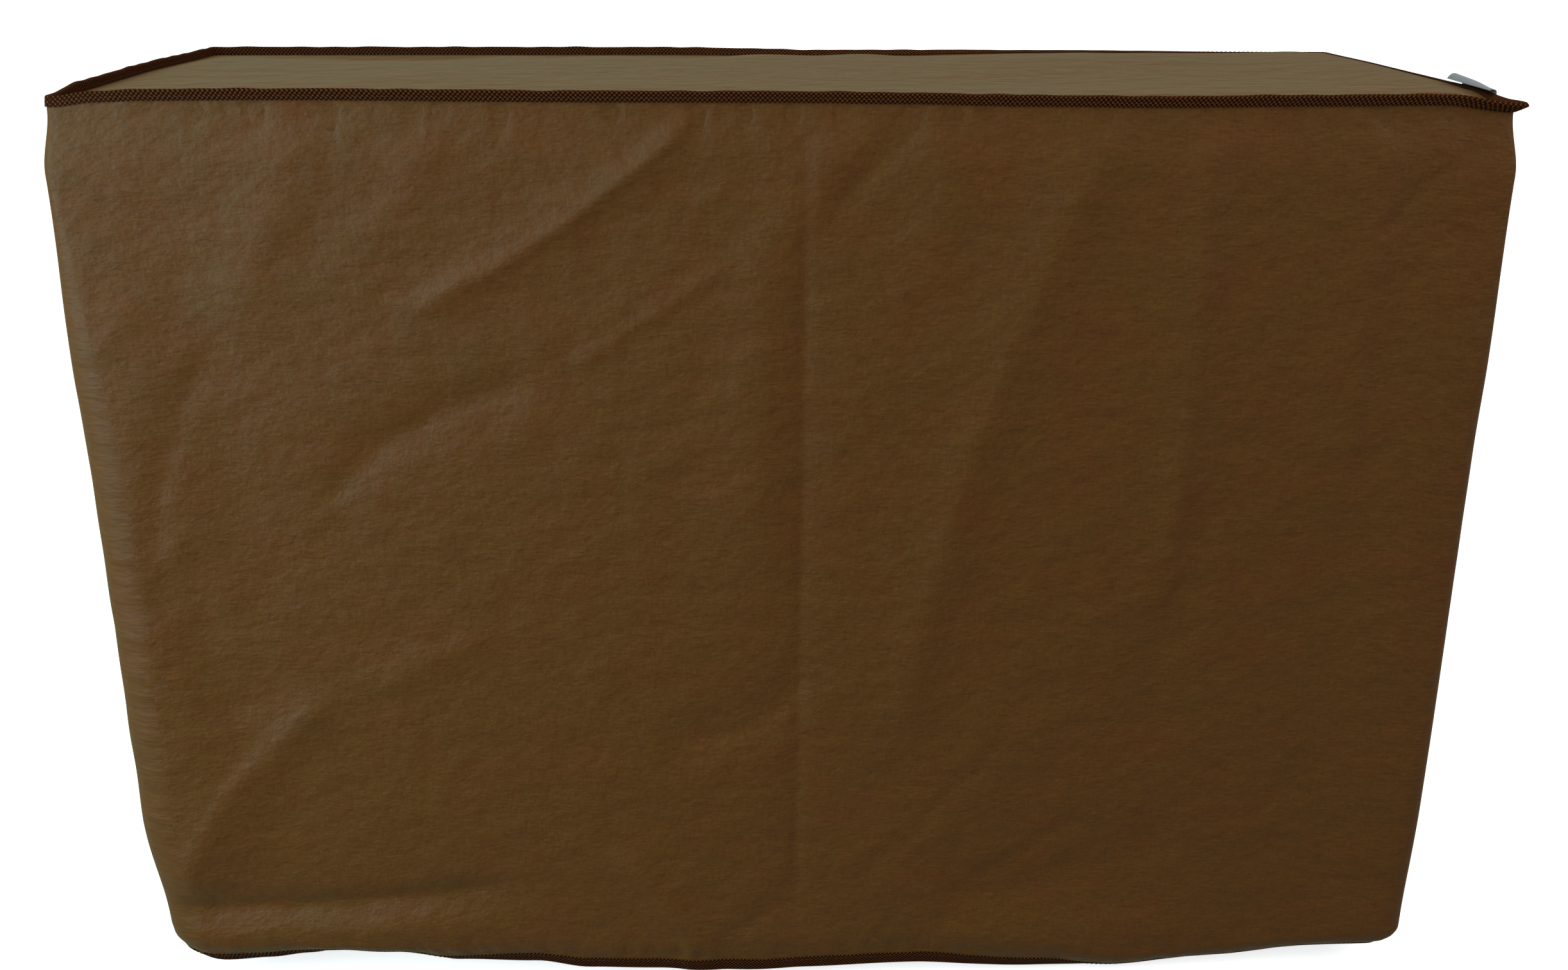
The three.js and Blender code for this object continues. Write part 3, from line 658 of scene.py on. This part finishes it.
def make_skirt():
    """The skirt: its flange and wall as one sheet, the inner face a cloth's thickness further in."""
    flange_n, flange_z = flange_line(skirt_stations, [FLANGE_CLOTH, 4.5, 2.4, OUTER_BASE, 0])
    wall_n, wall_z = wall_line(skirt_stations)
    n, z = np.hstack([flange_n, wall_n]), np.hstack([flange_z, wall_z])
    bare_n = np.hstack([flange_n, wall_line(skirt_stations, 0)[0]])
    inner_n, inner_z = offset(bare_n, z, -CLOTH)
    # The inner face has no creases, and lies further in where the outer face has them.
    inner_n = inner_n - 1.8 * smooth((-z - 16) / 25) * smooth((z - z[:, -1:] - 26) / 25)
    rows = n.shape[1]
    pick = np.round(np.linspace(0, rows - 1, INNER_ROWS)).astype(int)
    down = np.hypot(np.diff(n), np.diff(z))
    down = np.hstack([0 * down[:, :1], np.cumsum(down, axis=1)])
    around = np.broadcast_to(round_length(skirt_stations)[:, None], down.shape)
    outer = placed(skirt_stations, n, z)
    inner = placed(skirt_stations, inner_n[:, pick], inner_z[:, pick])
    return two_faced("skirt_cloth", outer, inner, np.stack([around, -down], axis=-1), cloth_finish)


def panel_face(n, z, seam):
    """Points of one face of the top panel, whose corners tighten as its rings shrink."""
    radii = np.clip(DEPTH / 2 + np.minimum(n, 0) - 1, 0, SEAM_RADIUS)
    x, y = plan_point(fine_stations, n, (radii, radii))
    return np.stack([x, y, z + seam], axis=-1)


def make_top_panel():
    """The top panel: up to the flange's inner side all round, and rings that shrink to a middle line."""
    lean_n, lean_z = flange_line(fine_stations, [FLANGE_CLOTH, 5, 3.4, 1.8, 0])
    below = np.full_like(lean_n[:, :1], -1)
    lip_n, lip_z = offset(np.hstack([lean_n, 0 * below]), np.hstack([lean_z, below]), -(CLOTH + GAP))
    lip_n, lip_z = lip_n[:, :-1], lip_z[:, :-1]
    insets = np.array([5, 7, 10, 14, 19, 25, 32, 40, 48, 57, 66, *range(76, 147, 10), 155, 161])
    inset = np.broadcast_to(insets, (len(lip_n), len(insets))).astype(float)
    corner = np.clip(DEPTH / 2 - inset - 1, 0, SEAM_RADIUS)
    x, y = plan_point(fine_stations, -inset, (corner, corner))
    seam = look_up(SEAM, "height", fine_stations["place"])
    level = top_height(x, y) + 0.25 * ripple(x, y, 5, 40, 140) - seam
    flat_z = mix(lip_z[:, -1:], level, smooth(inset / TOP_EDGE_BLEND))
    n, z = np.hstack([lip_n, -inset]), np.hstack([lip_z, flat_z])
    upper, under = panel_face(*offset(n, z, -CLOTH), seam), panel_face(n, z, seam)
    count, rows = upper.shape[:2]
    start = count * rows
    upper_quads = grid_quads(count, rows)[0]
    under_quads = grid_quads(count, rows, start, flip=True)[0]
    ids = np.arange(count)
    rim = bridge_quads(ids * rows, start + ids * rows)
    # The innermost ring is a narrow slot. Its front and back stations face each other one to one, and
    # so do the stations of its two ends.
    slot_quads = slot(ids * rows + rows - 1)
    slot_under = slot(start + ids * rows + rows - 1)[:, ::-1]
    points = np.concatenate([upper.reshape(-1, 3), under.reshape(-1, 3)])
    quads = np.concatenate([upper_quads, under_quads, rim, slot_quads, slot_under])
    return make_mesh("top_cloth", points, quads, points[quads][..., :2], cloth_finish)


def slot(ring):
    """Quads that close a ring of four sides: front to back across it, and each end by itself."""
    front, right, back = FINE_COLUMNS[:3]
    back_start = front + right + 2 * FINE_CORNER
    a = ring[:front + 1]
    b = ring[back_start:][:back + 1][::-1]
    across = np.stack([a[:-1], a[1:], b[1:], b[:-1]], axis=1)
    end = ring[front:back_start + 1]
    other = np.append(ring[back_start + back:], ring[0])
    ends = []
    for line in (end, other):
        half = len(line) // 2
        p, q = line[:half + 1], line[::-1][:half + 1]
        ends.append(np.stack([p[:-1], p[1:], q[1:], q[:-1]], axis=1))
    return np.concatenate([across, *ends])


def tape_section(outer_base, inner_base, end, middle, half, radius=1.1):
    """Closed U-shaped section as s along the limbs and d across them: up the outer limb, over the end
    with its two corners rounded, down the inner limb, and back along their inside."""
    centre = end - radius
    turn = np.linspace(0, np.pi / 2, 6)
    limbs = np.linspace(0, 1, 5)
    arc_s, arc_d = centre + radius * np.sin(turn), half - radius + radius * np.cos(turn)
    outside_s = np.concatenate([mix(outer_base, centre, limbs[:-1]), arc_s, arc_s[::-1],
                                mix(centre, inner_base, limbs[1:])])
    outside_d = middle + np.concatenate([half + 0 * limbs[:-1], arc_d, -arc_d[::-1], -half + 0 * limbs[1:]])
    inside = half - TAPE
    top = end - TAPE
    inside_s = np.array([inner_base, top - 0.3, top, top, top - 0.3, outer_base])
    inside_d = middle + np.array([-inside, -inside, 0.3 - inside, inside - 0.3, inside, inside])
    return np.concatenate([outside_s, inside_s]), np.concatenate([outside_d, inside_d])


def tape_mesh(name, section_points, lengths, section_length, flip):
    """A closed section swept round the cover, with the pattern's coordinates along and across it."""
    count, rows = section_points.shape[:2]
    quads, own = grid_quads(count, rows, flip=not flip)
    around = np.append(lengths, lengths[-1] + lengths[1])
    uv = np.stack(np.broadcast_arrays(around[:, None], section_length[None, :]), axis=-1).reshape(-1, 2)
    closing, closing_own = seam_quads(count, rows, not flip)
    quads, own = np.concatenate([quads, closing]), np.concatenate([own, closing_own])
    return make_mesh(name, section_points, quads, uv[own], tape_finish, sharp=60)


def seam_quads(count, rows, flip):
    """Quads between a section's last and first points."""
    i = np.arange(count)
    corners = [(i, rows - 1), (i, 0), (i + 1, 0), (i + 1, rows - 1)]
    if flip:
        corners = corners[::-1]
    quads = np.stack([(a % count) * rows + b for a, b in corners], axis=1)
    own = np.stack([a * rows + rows - 1 + 0 * b for a, b in corners], axis=1)
    return quads, own


def section_lengths(s, d):
    """Distance along a section's outline at each of its points."""
    return np.concatenate([[0], np.cumsum(np.hypot(np.diff(s), np.diff(d)))])


def waver(lengths, seed, waves):
    """Slow unevenness along a tape, within about +-1, that closes after one round."""
    rng = np.random.default_rng(seed)
    total = 0
    for count in waves:
        total = total + np.sin(lengths / lengths[-1] * 2 * np.pi * count + rng.uniform(0, 2 * np.pi))
    return (total / math.sqrt(len(waves)))[:, None]


def flange_to_plan(stations, s, d):
    """Points at s up the flange and d out from its outer face."""
    lean = np.radians(look_up(SEAM, "lean", stations["place"]))
    return placed(stations, s * np.sin(lean) + d * np.cos(lean), s * np.cos(lean) - d * np.sin(lean))


def hem_to_plan(stations, limb, s, d):
    """Points at s down the tape's limb and d out from the skirt's outer face."""
    n0, z0, tn, tz = limb
    return placed(stations, n0 + s * tn - d * tz, z0 + s * tz + d * tn)


def stitch_bodies(lines, pitch=3.5, long=2.5, thick=0.24):
    """Rows of stitches along closed lines given as points and outward points 1 mm off them. Each stitch
    is a spindle that sinks in at its ends: its radius is thick * sqrt(1 - t^2) along t from -1 to 1."""
    bodies = []
    for line, off in lines:
        line, off = np.vstack([line, line[:1]]), np.vstack([off, off[:1]])
        run = np.concatenate([[0], np.cumsum(np.linalg.norm(np.diff(line, axis=0), axis=1))])
        count = int(run[-1] / pitch)
        t = np.array([-0.98, -0.45, 0.45, 0.98])
        at = (np.arange(count)[:, None] + 0.5) * pitch + t * long / 2
        middle = np.stack([np.interp(at, run, line[:, k]) for k in range(3)], axis=-1)
        above = np.stack([np.interp(at, run, off[:, k]) for k in range(3)], axis=-1)
        normal = above - middle
        normal /= np.linalg.norm(normal, axis=-1, keepdims=True)
        tangent = np.gradient(middle, axis=1)
        tangent /= np.linalg.norm(tangent, axis=-1, keepdims=True)
        sideways = np.cross(tangent, normal)
        radius = (thick * np.sqrt(1 - t**2))[None, :, None, None]
        turn = (2 * np.pi * even(5))[None, None, :, None]
        ring = normal[:, :, None] * np.cos(turn) + sideways[:, :, None] * np.sin(turn)
        lift = (0.1 * (1 - t**2))[None, :, None, None] * normal[:, :, None]
        bodies.append((middle[:, :, None] + lift + ring * radius).reshape(-1, 3))
    # A stitch is four rings of five points. A quad and a triangle close each end, and a triangle is a
    # quad with its last point twice.
    points = np.concatenate(bodies)
    rings, around = 4, 5
    count = len(points) // (rings * around)
    body = []
    for a in range(rings - 1):
        for b in range(around):
            low, high, after = a * around, (a + 1) * around, (b + 1) % around
            body.append([low + b, low + after, high + after, high + b])
    body += [[4, 3, 1, 0], [3, 2, 1, 1], [15, 16, 18, 19], [16, 17, 18, 18]]
    quads = (np.array(body)[None] + np.arange(count)[:, None, None] * rings * around).reshape(-1, 4)
    return points, quads


def make_stitch_piece(name, lines):
    """A piece of all the stitches along some lines."""
    points, quads = stitch_bodies(lines)
    triangle = quads[:, 2] == quads[:, 3]
    faces = [*map(tuple, quads[~triangle])] + [*map(tuple, quads[triangle][:, :3])]
    mesh = bpy.data.meshes.new(name)
    mesh.from_pydata(((points - (0, 0, TOP_MIDDLE)) * 0.001).tolist(), [], faces)
    mesh.polygons.foreach_set("use_smooth", np.ones(len(faces), bool))
    mesh.materials.append(thread_finish)
    piece = bpy.data.objects.new(name, mesh)
    scene.collection.objects.link(piece)
    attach(piece, "root")
    return piece


def make_top_tape():
    """The tape over the flange, slightly uneven in height, and its two rows of stitches."""
    stack = 2 * CLOTH + GAP
    half = (stack + 2 * (GAP + TAPE)) / 2
    middle = GAP + TAPE - half
    s, d = tape_section(OUTER_BASE, INNER_BASE, FLANGE_TAPE, middle, half)
    lengths = round_length(fine_stations)
    rise = 0.22 * waver(lengths, 3, (31, 47, 76, 103))
    share = smooth((s - 2) / 5)
    points = flange_to_plan(fine_stations, s[None, :] + rise * share, d[None, :] + 0 * rise)
    tape = tape_mesh("top_binding", points, lengths, section_lengths(s, d), flip=False)
    lines = []
    for at_s, side in ((OUTER_BASE + 2.4, 1), (INNER_BASE + 1.6, -1)):
        face = middle + side * half
        rows = [flange_to_plan(fine_stations, at_s, face + side * up)[:, 0] for up in (0.0, 1.0)]
        lines.append(rows)
    return tape, make_stitch_piece("top_stitches", lines)


def make_hem_tape():
    """The tape over the skirt's lower edge, and its two rows of stitches."""
    n, z = wall_line(fine_stations)
    start = n.shape[1] - 1 - TAPE_ROWS
    n0, z0 = n[:, start:start + 1], z[:, start:start + 1]
    tn, tz = n[:, -1:] - n0, z[:, -1:] - z0
    reach = np.hypot(tn, tz)
    limb = (n0, z0, tn / reach, tz / reach)
    half = (CLOTH + 2 * (GAP + TAPE)) / 2
    middle = GAP + TAPE - half
    s, d = tape_section(0, 0, HEM_TAPE + GAP + TAPE, middle, half)
    lengths = round_length(fine_stations)
    rise = 0.25 * waver(lengths, 8, (29, 53, 71, 110))
    share = 1 - smooth(s / 6)
    points = hem_to_plan(fine_stations, limb, s[None, :] + rise * share, d[None, :] + 0 * rise)
    tape = tape_mesh("hem_binding", points, lengths, section_lengths(s, d), flip=True)
    lines = []
    for side in (1, -1):
        face = middle + side * half
        rows = [hem_to_plan(fine_stations, limb, 2.2, face + side * up)[:, 0] for up in (0.0, 1.0)]
        lines.append(rows)
    return tape, make_stitch_piece("hem_stitches", lines)


def make_label():
    """The label: its section across the seam, eased by a moving average, lifted more towards its back."""
    line = np.array(LABEL_LINE, float)
    run = np.concatenate([[0], np.cumsum(np.hypot(*np.diff(line, axis=0).T))])
    at = np.linspace(0, run[-1], 61)
    padded = [np.pad(np.interp(at, run, line[:, k]), 5, mode="reflect", reflect_type="odd") for k in (0, 1)]
    n, z = (np.convolve(p, np.ones(11) / 11, mode="valid") for p in padded)
    along = np.linspace(0, 1, 33)[:, None]
    lift = mix(*LABEL_LIFT, along)
    z = np.where(z > LABEL_FOOT, LABEL_FOOT + (z - LABEL_FOOT) * lift, z + 0 * along)
    n = n + 0.35 * np.sin(along * 7 + 0.6) * smooth((at - 8) / 16)
    # Its front end is drawn in under the corner.
    n = LABEL_LINE[0][0] + (n - LABEL_LINE[0][0]) * mix(0.45, 1, smooth(along * 1.6))
    below_n, below_z = offset(n, z, -LABEL_THICKNESS)
    y = mix(*LABEL_Y, along)
    line_n = np.hstack([n, below_n[:, ::-1]])
    line_z = np.hstack([z, below_z[:, ::-1]])
    section = np.stack(np.broadcast_arrays(LENGTH / 2 + line_n, y, line_z), axis=-1)
    count, rows = section.shape[:2]
    side_quads = grid_quads(count, rows, ring=False)[0]
    i = np.arange(count - 1)
    edge = np.stack([i * rows + rows - 1, i * rows, (i + 1) * rows, (i + 1) * rows + rows - 1], axis=1)
    j = np.arange(rows // 2 - 1)
    cap = np.stack([j, rows - 1 - j, rows - 2 - j, j + 1], axis=1)
    far = (count - 1) * rows + cap[:, ::-1]
    quads = np.concatenate([side_quads, edge, cap, far])
    across = np.concatenate([at, at[::-1]])
    uv = np.stack(np.broadcast_arrays(y, across[None, :]), axis=-1).reshape(-1, 2)
    return make_mesh("seam_label", section, quads[:, ::-1], uv[quads[:, ::-1]], label_finish)


skirt = make_skirt()
top_panel = make_top_panel()
top_tape, top_stitches = make_top_tape()
hem_tape, hem_stitches = make_hem_tape()
label = make_label()

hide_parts("skirt")
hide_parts("top_panel")
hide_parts("top_tape")
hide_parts("hem_tape")
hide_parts("label")

# The floor lies just under the lowest point of the hem.
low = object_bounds()[0][2] - 0.0005
floor_mesh = bpy.data.meshes.new("floor")
floor_mesh.from_pydata([(-30, -30, low), (30, -30, low), (30, 30, low), (-30, 30, low)], [], [(0, 1, 2, 3)])
floor_mesh.materials.append(paper_floor())
floor = bpy.data.objects.new("floor", floor_mesh)
scene.collection.objects.link(floor)
# It shows, and takes shadows, but throws no light up onto the cloth.
floor.visible_diffuse = False
floor.visible_glossy = False

# Weak even daylight all round. Wide soft boxes at the left are the key light, with a fill at the right.
world = bpy.data.worlds.new("studio")
world.use_nodes = True
world.node_tree.nodes["Background"].inputs["Color"].default_value = (1, 1, 1, 1)
world.node_tree.nodes["Background"].inputs["Strength"].default_value = 0.2
scene.world = world


def add_sun(name, strength, angle, towards, colour="#ffffff"):
    """A soft distant light of some width in degrees that shines along a direction."""
    light = bpy.data.lights.new(name, "SUN")
    light.energy = strength
    light.angle = math.radians(angle)
    light.color = linear(colour)[:3]
    lamp = bpy.data.objects.new(name, light)
    direction = np.array(towards, float)
    turn = math.atan2(direction[1], direction[0])
    tilt = math.acos(-direction[2] / np.linalg.norm(direction))
    lamp.rotation_euler = (0, -tilt, turn)
    lamp.visible_glossy = False
    scene.collection.objects.link(lamp)


def add_soft_box(name, power, size, at, towards=(0, -0.16, -0.3), colour="#ffffff"):
    """A round soft box of a size in metres at one point, turned towards another."""
    light = bpy.data.lights.new(name, "AREA")
    light.shape = "DISK"
    light.size = size
    light.energy = power
    light.color = linear(colour)[:3]
    lamp = bpy.data.objects.new(name, light)
    aim = np.array(towards) - np.array(at)
    lamp.location = at
    lamp.rotation_euler = (0, -math.acos(-aim[2] / np.linalg.norm(aim)), math.atan2(aim[1], aim[0]))
    scene.collection.objects.link(lamp)


add_sun("overhead", 1.68, 60, (0.05, -0.3, -1), "#f2fdff")
add_sun("front_fill", 0.25, 70, (0.1, 0.7, -1), "#fff8ec")
add_soft_box("left_box", 11.5, 1.1, (-1.4, -0.95, 0.45), colour="#c8fbff")
add_soft_box("low_left_box", 9, 0.9, (-1.25, -0.85, -0.25), (-0.3, -0.16, -0.4), "#ccf2ff")
add_soft_box("front_left_box", 6.5, 1.3, (-0.85, -1.45, 0.5), colour="#f8ffff")
add_soft_box("right_fill", 13, 1.2, (1.7, -0.8, 0.9), (-0.2, 0, 0), "#fff0e0")

# The camera, fitted to the photograph: its place in mm over the seam's plane, its turn to the right,
# tilt down and roll in degrees, and its focal length in pixels of the whole picture's width
CAMERA = (-42.7, -1121.6, 110.2)
YAW, PITCH, ROLL = (math.radians(a) for a in (2.29, 19.81, 0.25))
PICTURE_WIDTH = 2445
FOCAL = 2511.1

forward = np.array([math.sin(YAW) * math.cos(PITCH), math.cos(YAW) * math.cos(PITCH), -math.sin(PITCH)])
level_right = np.array([math.cos(YAW), -math.sin(YAW), 0])
level_up = np.cross(level_right, forward)
right = level_right * math.cos(ROLL) + level_up * math.sin(ROLL)
up = -level_right * math.sin(ROLL) + level_up * math.cos(ROLL)
camera_data = bpy.data.cameras.new("camera")
camera_data.sensor_width = 36
camera_data.lens = 36 * FOCAL / PICTURE_WIDTH
camera = bpy.data.objects.new("camera", camera_data)
matrix = np.eye(4)
matrix[:3, 0], matrix[:3, 1], matrix[:3, 2] = right, up, -forward
matrix[:3, 3] = (np.array(CAMERA) - (0, 0, TOP_MIDDLE)) * 0.001
camera.matrix_world = matrix.T.tolist()
scene.collection.objects.link(camera)
scene.camera = camera
scene.view_settings.view_transform = "Standard"
